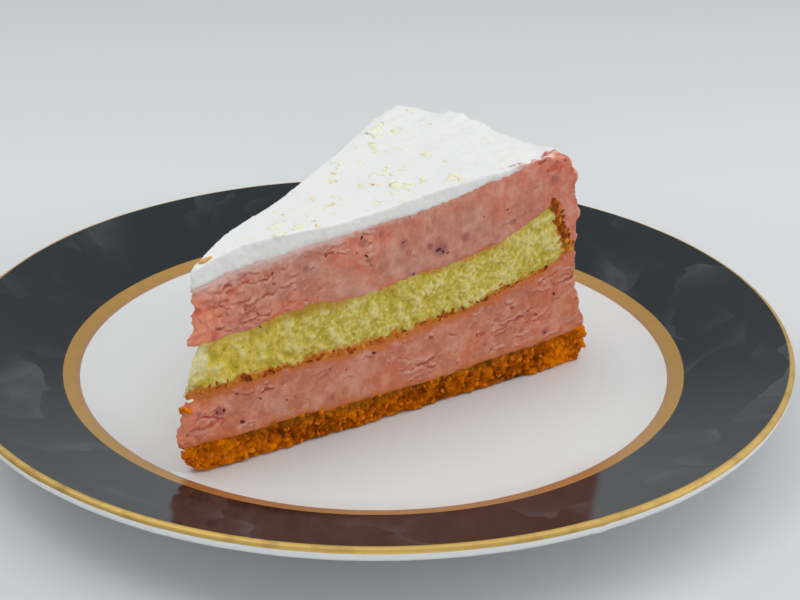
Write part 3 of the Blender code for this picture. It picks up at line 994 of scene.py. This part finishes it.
def moveFarCorner(layer):
    # the far outer corner is pulled in, and the far cut face bulges before it
    coords, reach = layer.coords, layer.reach
    corner = np.array([math.cos(wedgeAngle), math.sin(wedgeAngle)]) * (reach.max() + 0.5)
    gap = np.hypot(coords[:, 0] - corner[0], coords[:, 1] - corner[1])
    inward = -(cut["along"] * corner[0] - cut["out"] * corner[1]) / np.linalg.norm(corner)
    pull = np.clip(1 - gap / creamLook["cornerWide"], 0, 1) ** 2
    layer.points += inward * (pull * creamLook["cornerPull"] * mm)[:, None]
    bulge = 1.5 * np.exp(-((reach - 92) / 9.0) ** 2) - 0.7 * np.exp(-((reach - 70) / 8.0) ** 2)
    layer.points += farOut * (ease(0.3, 0.7, layer.normals @ farOut) * bulge * mm)[:, None]


def makeCream():
    look = creamLook
    layer = startLayer("cream_top", "creamTop", look["spacing"])
    coords, reach, below, normals = layer.coords, layer.reach, layer.below, layer.normals
    up = ease(0.5, 0.8, normals[:, 2])
    side = 1 - ease(0.6, 0.9, layer.level)
    fine = layeredNoise(coords / 1.2, 3, 721)
    push = up * (look["topSwell"] * layeredNoise(coords / 12.0, 2, 701)
                 + look["topGrain"] * layeredNoise(coords / 2.5, 2, 705))
    swell = look["sideSwell"] * layeredNoise(coords / 7.0, 2, 711)
    push += side * (facePush(coords) + swell + look["sideGrain"] * fine)
    moveBorders(layer, borderSeeds["cream"], 0)
    layer.points += normals * (push * mm)[:, None]
    fray(layer, 751, 0.2)
    layer.points[:, 2] -= ease(0.6, 0.9, -normals[:, 2]) * meetingLap * mm
    moveFarCorner(layer)
    layer.points[:, 2] -= outerDent(coords, reach.max()) * mm
    exposed = ease(99.0, 102.0, reach + 2.2 * fine) * (1 - ease(1.6, 4.2, coords[:, 1] + 1.8 * fine))
    layer.points[:, 2] -= exposed * 0.8 * mm
    thinned = ease(0.3, 0.7, normals @ cut["out"]) * ease(87, 94, coords[:, 0] + 2.5 * fine)
    redLine = ease(84, 92, coords[:, 0]) * (1 - ease(0.3, 0.8, np.abs(coords[:, 1] + layer.above - 0.9)))
    redLine = np.maximum(redLine, 1 - ease(0.10, 0.30, np.abs(exposed - 0.35)))
    tint = (1 - ease(0.1, 1.1, below + 0.9 * fine)) * side * 0.8 * (1 - 0.85 * ease(35, 65, reach))
    # painted shading: patches of the sides only take a cooler grey-white
    masks = {"tint": tint, "paintedSideShade": side * ease(-0.2, 0.6, layeredNoise(coords / 2.2, 3, 735)) * 0.6,
             "salmon": np.maximum(exposed, thinned) * 0.95, "ruddy": redLine * ease(-0.15, 0.2, fine) * 0.9}
    finishLayer(layer, masks, (normals[:, 2] < -0.9) & (layer.edge > 3.0), creamMaterial())
    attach(layer.item, "root")
    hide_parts("cream_top")
    return layer.item


def crumbShapes(count, detail, seed):
    # a few angular lumps, each about one unit across
    builder = bmesh.new()
    bmesh.ops.create_icosphere(builder, subdivisions=detail, radius=1.0)
    ball = np.array([v.co for v in builder.verts])
    faces = np.array([[v.index for v in f.verts] for f in builder.faces])
    builder.free()
    ball /= np.linalg.norm(ball, axis=1)[:, None]
    draw = np.random.default_rng(seed)
    shapes = []
    for _ in range(count):
        planes = draw.normal(size=(9, 3))
        planes /= np.linalg.norm(planes, axis=1)[:, None]
        offsets = draw.uniform(0.45, 0.85, 9)
        limits = offsets / np.maximum(ball @ planes.T, 0.05)
        rough = 0.12 * layeredNoise(ball * 2 + draw.uniform(0, 9, 3), 2, 3)
        radius = np.minimum(limits.min(axis=1), 1.0) * (1 + rough)
        shapes.append(ball * radius[:, None])
    return shapes, faces


def scatteredMesh(name, spots, detail, seed):
    # spots hold a place, an upward direction, a size in millimetres, a flatness and a tone from 0 to 1
    shapes, faces = crumbShapes(14, detail, seed)
    draw = np.random.default_rng(seed)
    points, allFaces, tones = [], [], []
    for number, (place, up, size, flatness, tone) in enumerate(spots):
        turn = Vector(up).normalized().to_track_quat("Z", "Y").to_matrix()
        turn = np.array(turn @ Matrix.Rotation(draw.uniform(0, math.tau), 3, "Z"))
        stretch = np.array([draw.uniform(0.9, 1.4), draw.uniform(0.6, 1.0), flatness]) * size * 0.5 * mm
        shape = (shapes[draw.integers(len(shapes))] * stretch) @ turn.T + np.array(place)
        allFaces.append(faces + number * len(shape))
        points.append(shape)
        tones.append(np.full(len(shape), tone))
    mesh = bpy.data.meshes.new(name)
    mesh.from_pydata(np.concatenate(points).tolist(), [], np.concatenate(allFaces).tolist())
    writeMask(mesh, "tone", np.concatenate(tones))
    return addObject(name, mesh)


def drawSize(look, draw, power):
    # a high power makes large bits rarer
    return look["smallest"] + (look["largest"] - look["smallest"]) * draw.uniform() ** power


def pickSides(item, steepest, count, draw):
    # faces of an item's sides, each as likely as it is large
    sides = [p for p in item.data.polygons if abs(p.normal.z) < steepest]
    areas = np.array([p.area for p in sides])
    return [sides[index] for index in draw.choice(len(sides), count, p=areas / areas.sum())]


def surfaceTree(item):
    mesh = item.data
    return BVHTree.FromPolygons([v.co for v in mesh.vertices], [p.vertices for p in mesh.polygons])


def nearestHit(trees, start, ahead):
    # place and direction of the first surface met, or nothing
    hits = [hit for hit in (tree.ray_cast(start, ahead) for tree in trees) if hit[0] is not None]
    return min(hits, key=lambda hit: hit[3])[:2] if hits else None


def toneMaterial(name, colours, roughness, grain):
    # colours run from tone 0 to tone 1
    material, tree, shader = newMaterial(name, roughness=roughness)
    coords = objectCoords(tree)
    noise = noiseNode(tree, coords, grain, 3.0)
    change = rangeNode(tree, noise, 0.3, 0.7, -0.15, 0.15)
    tone = mathNode(tree, "ADD", maskNode(tree, "tone"), change, clamp=True)
    places = np.linspace(0.05, 0.95, len(colours))
    colour = rampNode(tree, tone, list(zip(places, colours)))
    shader.inputs["Specular IOR Level"].default_value = 0.15
    joinColour(tree, shader, colour, bumpNode(tree, noiseNode(tree, coords, 0.4, 3.0), 0.5, 0.15))
    return material


creamCrumbLook = {
    # along the cut, in from it, size and tone of each bit
    "bits": ((90, 46, 2.1, 0.2), (80, 37, 2.3, 0.35), (76, 40, 3.8, 0.15), (74, 36, 2.4, 0.15),
             (70, 33, 0.9, 0.95), (69, 30, 2.5, 0.4), (62, 25, 1.9, 0.15), (77, 20, 2.6, 0.35),
             (74, 26, 1.2, 0.3), (82, 26, 0.9, 0.1), (78, 13, 1.4, 0.4), (89, 35, 0.9, 1.0),
             (64, 17, 3.2, 0.3), (67, 15, 0.9, 0.9), (69, 15, 1.5, 0.15), (54, 24, 1.9, 0.6),
             (52, 21, 2.2, 0.75), (56, 15, 2.1, 0.35), (58, 13, 1.5, 0.7), (59, 12, 1.4, 0.2),
             (62, 9, 3.0, 0.2), (63, 5, 2.3, 0.2), (67, 6, 2.2, 0.35), (74, 4, 2.7, 0.3),
             (75, 2, 2.2, 0.5), (43, 16, 1.4, 0.8), (42, 21, 0.7, 0.5), (45, 10, 1.4, 0.8),
             (48, 13, 1.8, 0.3), (48, 11, 0.9, 0.45), (36, 13, 0.9, 0.4), (33, 11, 1.3, 0.6),
             (37, 7, 0.9, 0.5), (37, 4, 1.1, 0.7), (36, 1, 1.9, 0.7), (32, 3, 2.5, 0.35),
             (28, 5, 3.3, 0.2), (28, 1, 1.0, 0.5), (53, 4, 2.0, 0.2), (58, 1, 1.7, 0.15),
             (43, 5, 1.3, 0.2), (58, 28, 2.3, 0.1), (66, 35, 1.4, 0.1), (32, 13, 0.9, 0.2),
             (72, 42, 1.2, 0.3), (20, 2, 0.8, 0.3), (84, 8, 0.9, 0.2), (94, 18, 0.8, 0.1)),
    "strays": 30, "smallest": 0.8, "perWidth": 1.5, "scatter": 0.30,
    # shift along the cut, size and tone of the crumb by the tip
    "tipCrumb": ((-0.6, 2.6, 1.0), (0.6, 2.3, 0.85), (0.1, 1.8, 0.95)),
    # along the cut, height and size of the pale bits under the sponge's tip
    "tipBits": ((2.7, 18.7, 1.5), (3.3, 18.8, 1.2)),
    "colours": [(0.88, 0.89, 0.80), (0.88, 0.87, 0.66), (0.88, 0.84, 0.54), (0.88, 0.74, 0.42),
                (0.74, 0.40, 0.12)],
}


def makeCreamCrumbs(cream):
    # soft pale bits on the cream, a few of them browned, and one larger orange crumb by the tip
    look = creamCrumbLook
    draw = np.random.default_rng(31)
    tree = surfaceTree(cream)
    above, down = 90, Vector((0, 0, -1))      # the bits are dropped from this height
    bits = list(look["bits"])
    for _ in range(look["strays"]):
        along, angle = draw.uniform(28, 96), wedgeAngle * draw.uniform(0.03, 0.95)
        size, tone = draw.uniform(0.4, 0.9), draw.uniform(0.1, 0.5)
        bits.append((along * math.cos(angle), along * math.sin(angle), size, tone))
    spots = []
    for along, inward, width, tone in bits:
        for number in range(1 + int(width * look["perWidth"])):
            spread = look["scatter"] * width if number else 0.0
            offset = Vector((draw.normal(0, spread), draw.normal(0, spread * 1.8), 0)) * mm
            place, up = tree.ray_cast(slicePoint(along, inward, above) + offset, down)[:2]
            if place is None:
                continue
            size = max(look["smallest"], width * draw.uniform(0.70, 1.15))
            shade = 0.85 * tone + draw.uniform(-0.1, 0.1) if tone > 0.7 or number else tone + 0.12
            spots.append((place - up * size * 0.02 * mm, up, size, draw.uniform(0.20, 0.30), shade))
    place, up = tree.ray_cast(slicePoint(8.6, 1.0, above), down)[:2]
    spots += [(place + up * 0.1 * mm + Vector(cut["along"]) * shift * mm, up, size, 0.45, tone)
              for shift, size, tone in look["tipCrumb"]]
    spots += [(slicePoint(along, 0.2, height), Vector((0, 0, 1)), size, 0.55, 0.22)
              for along, height, size in look["tipBits"]]
    item = scatteredMesh("paleCrumbs", spots, 2, 41)
    item.data.shade_smooth()
    item.data.materials.append(toneMaterial("paleCrumb", look["colours"], 0.75, 2.0))
    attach(item, "root")
    print("pale crumbs:", len(spots))


crustLook = {
    "alongEnd": 120, "alongLines": 200, "smallest": 0.5, "largest": 2.4, "astray": 0.55,
    "colours": [(0.16, 0.030, 0.003), (0.36, 0.066, 0.005), (0.54, 0.135, 0.009), (0.70, 0.30, 0.03)],
}


def makeCrustCrumbs(sponge, mousse):
    # ragged bits of browned skin at the sponge's outer end, and a few along its underside
    look = crustLook
    draw = np.random.default_rng(43)
    trees = (surfaceTree(sponge), surfaceTree(mousse))
    low, high = spongeEnd.low, spongeEnd.high
    clear = 15      # mm outside the cut faces, from where the bits are thrown
    farAlong = cut["along"] * math.cos(wedgeAngle) - cut["out"] * math.sin(wedgeAngle)
    spots = []
    for number in range(2 * (look["alongEnd"] + look["alongLines"])):
        height = draw.uniform(low - 1.5, high + 1.0)
        astray = draw.normal(0, look["astray"])
        rise = (height - low) / (high - low)
        reach = spongeGap(np.array([[0, 0, height]]))[0][0] - 0.4 + 0.5 * (1 - rise) + astray
        tone = np.clip(0.58 - 0.25 * astray - 0.25 * rise + draw.normal(0, 0.26), 0.08, 1.0)
        if number % 2 == 0:
            start, ahead, back = slicePoint(reach, -clear, height), -Vector(cut["out"]), cut["along"]
        else:
            start = slicePoint(reach * math.cos(wedgeAngle), reach * math.sin(wedgeAngle), height)
            start += Vector(farOut) * clear * mm
            ahead, back = -Vector(farOut), farAlong
        if number >= 2 * look["alongEnd"]:
            along = draw.uniform(4, 100)
            edge = spongeEnd.height[np.abs(spongeEnd.reach - along) < 4]
            height = (edge.min() if len(edge) else 20) + draw.normal(0.6, 0.5)
            start.z = slicePoint(0, 0, height).z
            start -= Vector(back * (reach - along) * mm)
        hit = nearestHit(trees, start, ahead)
        if hit is None:
            continue
        place, up = hit
        size = drawSize(look, draw, 1.6)
        spots.append((place - up * size * 0.12 * mm, up, size, draw.uniform(0.35, 0.6), tone))
    item = scatteredMesh("crustCrumbs", spots, 2, 47)
    item.data.materials.append(toneMaterial("brownedCrust", look["colours"], 0.8, 1.0))
    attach(item, "root")
    print("crust crumbs:", len(spots))


looseLook = {
    "count": 700, "smallest": 0.45, "largest": 2.0,
    # along the cut, in from it and size of those dropped on the plate
    "dropped": ((118.0, 24.0, 1.1), (110.0, 40.0, 1.2)),
    # along the cut, in from it, height, size and tone of those on the tip
    "onTip": ((0.9, 0.6, 17.0, 2.3, 0.80), (1.3, 1.0, 16.0, 1.8, 0.8), (1.9, -0.1, 16.6, 2.4, 0.95),
              (2.7, -0.3, 16.5, 1.7, 0.9), (16.0, -0.2, 1.6, 2.8, 0.85)),
    "colours": [(0.15, 0.038, 0.0005), (0.40, 0.090, 0.0006), (0.66, 0.165, 0.0008), (0.86, 0.24, 0.001)],
}


def makeLooseCrumbs(base):
    # biscuit crumbs that stand out of the base's sides, and a few dropped ones
    look = looseLook
    draw = np.random.default_rng(53)
    ground = cut["floor"] - 0.25 * mm
    spots = []
    for face in pickSides(base, 0.6, look["count"], draw):
        size = drawSize(look, draw, 2.2)
        place = face.center - face.normal * size * draw.uniform(0.0, 0.25) * mm
        place.z = max(place.z, ground + size * 0.42 * mm)
        spots.append((place, face.normal, size, draw.uniform(0.7, 1.0), draw.uniform(0.35, 0.90)))
    for along, inward, size in look["dropped"]:
        place = slicePoint(along, inward, 0)
        place.z = ground + size * 0.35 * mm
        spots.append((place, Vector((0, 0, 1)), size, 0.75, draw.uniform(0.6, 0.95)))
    spots += [(slicePoint(along, inward, height), -Vector(cut["along"]), size, 0.7, tone)
              for along, inward, height, size, tone in look["onTip"]]
    item = scatteredMesh("biscuitCrumbs", spots, 2, 59)
    item.data.materials.append(toneMaterial("looseBiscuit", look["colours"], 0.8, 1.0))
    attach(item, "root")
    print("loose crumbs:", len(spots))


speckLook = {
    "count": 45, "smallest": 0.35, "largest": 1.4,
    # along the cut, height and size of the larger ones on its face
    "large": ((47.0, 47.7, 1.4), (37.6, 45.4, 0.9), (48.1, 43.1, 1.2), (49.7, 40.3, 1.1), (23.9, 44.4, 1.2),
              (68.1, 40.3, 1.9), (69.3, 39.7, 1.3), (70.6, 38.9, 1.2), (58.5, 44.2, 1.3), (99.4, 53.8, 0.8),
              (102.9, 23.7, 1.0), (103.1, 20.9, 1.1), (100.9, 10.7, 1.3), (9.3, 14.2, 1.6), (11.0, 14.2, 1.3),
              (15.4, 10.1, 1.3), (29.1, 12.6, 0.7), (20.6, 32.4, 0.9)),
    "colours": [(0.10, 0.032, 0.032), (0.16, 0.036, 0.036), (0.28, 0.055, 0.050)],
}


def makeSpecks(layers, sponge):
    # dark bits of fruit that lie in the mousse's faces
    look = speckLook
    draw = np.random.default_rng(67)
    spots = []
    for layer in layers:
        for face in pickSides(layer, 0.4, look["count"], draw):
            size = drawSize(look, draw, 2.5)
            place = face.center - face.normal * size * 0.12 * mm
            spots.append((place, face.normal, size, 0.45, draw.uniform(0, 1)))
    trees = [surfaceTree(layer) for layer in [*layers, sponge]]
    for along, height, size in look["large"]:
        place, up = nearestHit(trees, slicePoint(along, -15, height), -Vector(cut["out"]))
        spots.append((place - up * size * 0.08 * mm, up, size, 0.4, draw.uniform(0, 0.4)))
    item = scatteredMesh("fruitSpecks", spots, 2, 71)
    item.data.materials.append(toneMaterial("darkFruit", look["colours"], 0.7, 1.0))
    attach(item, "root")
    print("specks:", len(spots))


stageLook = {
    "floor": (0.70, 0.71, 0.715), "radius": 3.0, "below": 0.0001,
    # painted light: the floor is painted brighter just behind the plate and dimmer further back, as light
    # falls off
    "paintedFalloff": ((0.0, 1.0), (0.3, 1.08), (0.8, 0.96)),      # brightness of the floor from front to back
    "world": (0.97, 1.0, 1.02), "worldStrength": 0.365,
    "back": (0, 0.99, 0.14), "backSpread": 0.95, "backStrength": 0.64,      # a soft glow behind the plate
    # name, place, size and power of each soft light, all aimed at the plate
    "lights": (("overhead", (0, 0, 1.1), 1.2, 2.6), ("highLeft", (-0.6, 0, 1.0), 0.8, 2.7),
               ("highRight", (0.6, 0, 1.0), 0.8, 1.4), ("backLeft", (-0.8, 0.7, 0.7), 0.8, 0.8),
               ("backRight", (0.8, 0.7, 0.7), 0.8, 1.3), ("right", (1.1, 0, 0.5), 0.8, 2.9),
               ("lowFront", (0, -1.2, 0.3), 0.8, 3.1)),
    "aim": (0, 0, 0.02),
}


def makeFloor():
    look = stageLook
    mesh = bpy.data.meshes.new("studioFloor")
    turns = np.linspace(0, math.tau, 96, endpoint=False)
    points = [(look["radius"] * math.cos(t), look["radius"] * math.sin(t), -look["below"]) for t in turns]
    mesh.from_pydata(points, [], [list(range(len(points)))])
    floor = addObject("studioFloor", mesh)
    material, tree, shader = newMaterial("paleFloor", roughness=0.6)
    place = addNode(tree, "ShaderNodeTexCoord")
    depth = addNode(tree, "ShaderNodeSeparateXYZ", {"Vector": place.outputs["Object"]}).outputs["Y"]
    # painted light: a ramp along the floor's depth brightens it behind the plate
    colour = rampNode(tree, rangeNode(tree, depth, 0.0, 0.5),
                      [(share, tuple(c * level for c in look["floor"])) for share, level in look["paintedFalloff"]])
    joinColour(tree, shader, colour)
    mesh.materials.append(material)


def makeWorld():
    look = stageLook
    world = bpy.data.worlds.new("studioAir")
    world.use_nodes = True
    tree = world.node_tree
    air = tree.nodes["Background"]
    air.inputs["Color"].default_value = (*look["world"], 1.0)
    place = addNode(tree, "ShaderNodeTexCoord").outputs["Generated"]
    toward = addNode(tree, "ShaderNodeVectorMath", {0: place, 1: look["back"]}, operation="DOT_PRODUCT")
    strength = rangeNode(tree, toward.outputs["Value"], look["backSpread"], 1.0,
                         look["worldStrength"], look["backStrength"])
    tree.links.new(strength, air.inputs["Strength"])
    bpy.context.scene.world = world


def makeLights():
    for name, place, size, power in stageLook["lights"]:
        light = bpy.data.lights.new(name, "AREA")
        light.shape = "DISK"
        light.size = size
        light.energy = power
        item = addObject(name, light)
        item.location = place
        item.rotation_euler = (Vector(stageLook["aim"]) - Vector(place)).to_track_quat("-Z", "Y").to_euler()


cameraLook = {
    "distance": 0.4075, "elevation": 25.3, "lens": 72.25, "aimHeight": 18.3,      # m, degrees, mm, mm
    "turn": -0.90, "nod": 0.725, "roll": 0.333,      # small turns away from the plate's middle, in degrees
}


def makeCamera():
    look = cameraLook
    rise = math.radians(look["elevation"])
    camera = bpy.data.cameras.new("tableCamera")
    camera.lens = look["lens"]
    camera.sensor_width = 36.0
    camera.clip_start = 0.01
    item = addObject("tableCamera", camera)
    place = Vector((0, -math.cos(rise), math.sin(rise))) * look["distance"]
    place += Vector((0, 0, look["aimHeight"] * mm))
    item.matrix_world = (Matrix.Translation(place)
                         @ Matrix.Rotation(math.pi / 2 - rise, 4, "X")
                         @ Matrix.Rotation(math.radians(look["turn"]), 4, "Y")
                         @ Matrix.Rotation(math.radians(look["nod"]), 4, "X")
                         @ Matrix.Rotation(math.radians(look["roll"]), 4, "Z"))
    bpy.context.scene.camera = item


makeCamera()
makePlate()
crumbBase = makeBase()
seeds = borderSeeds
lowerMousse = makeMousse("lower_mousse", "lowerMousse", 101, seeds["base"], seeds["spongeBottom"])
spongeLayer = makeSponge()
upperMousse = makeMousse("upper_mousse", "upperMousse", 201, seeds["spongeTop"], seeds["cream"])
creamTop = makeCream()
makeCreamCrumbs(creamTop)
makeCrustCrumbs(spongeLayer, upperMousse)
makeLooseCrumbs(crumbBase)
makeSpecks([lowerMousse, upperMousse], spongeLayer)
makeFloor()
makeWorld()
makeLights()
bpy.context.scene.view_settings.view_transform = "Standard"
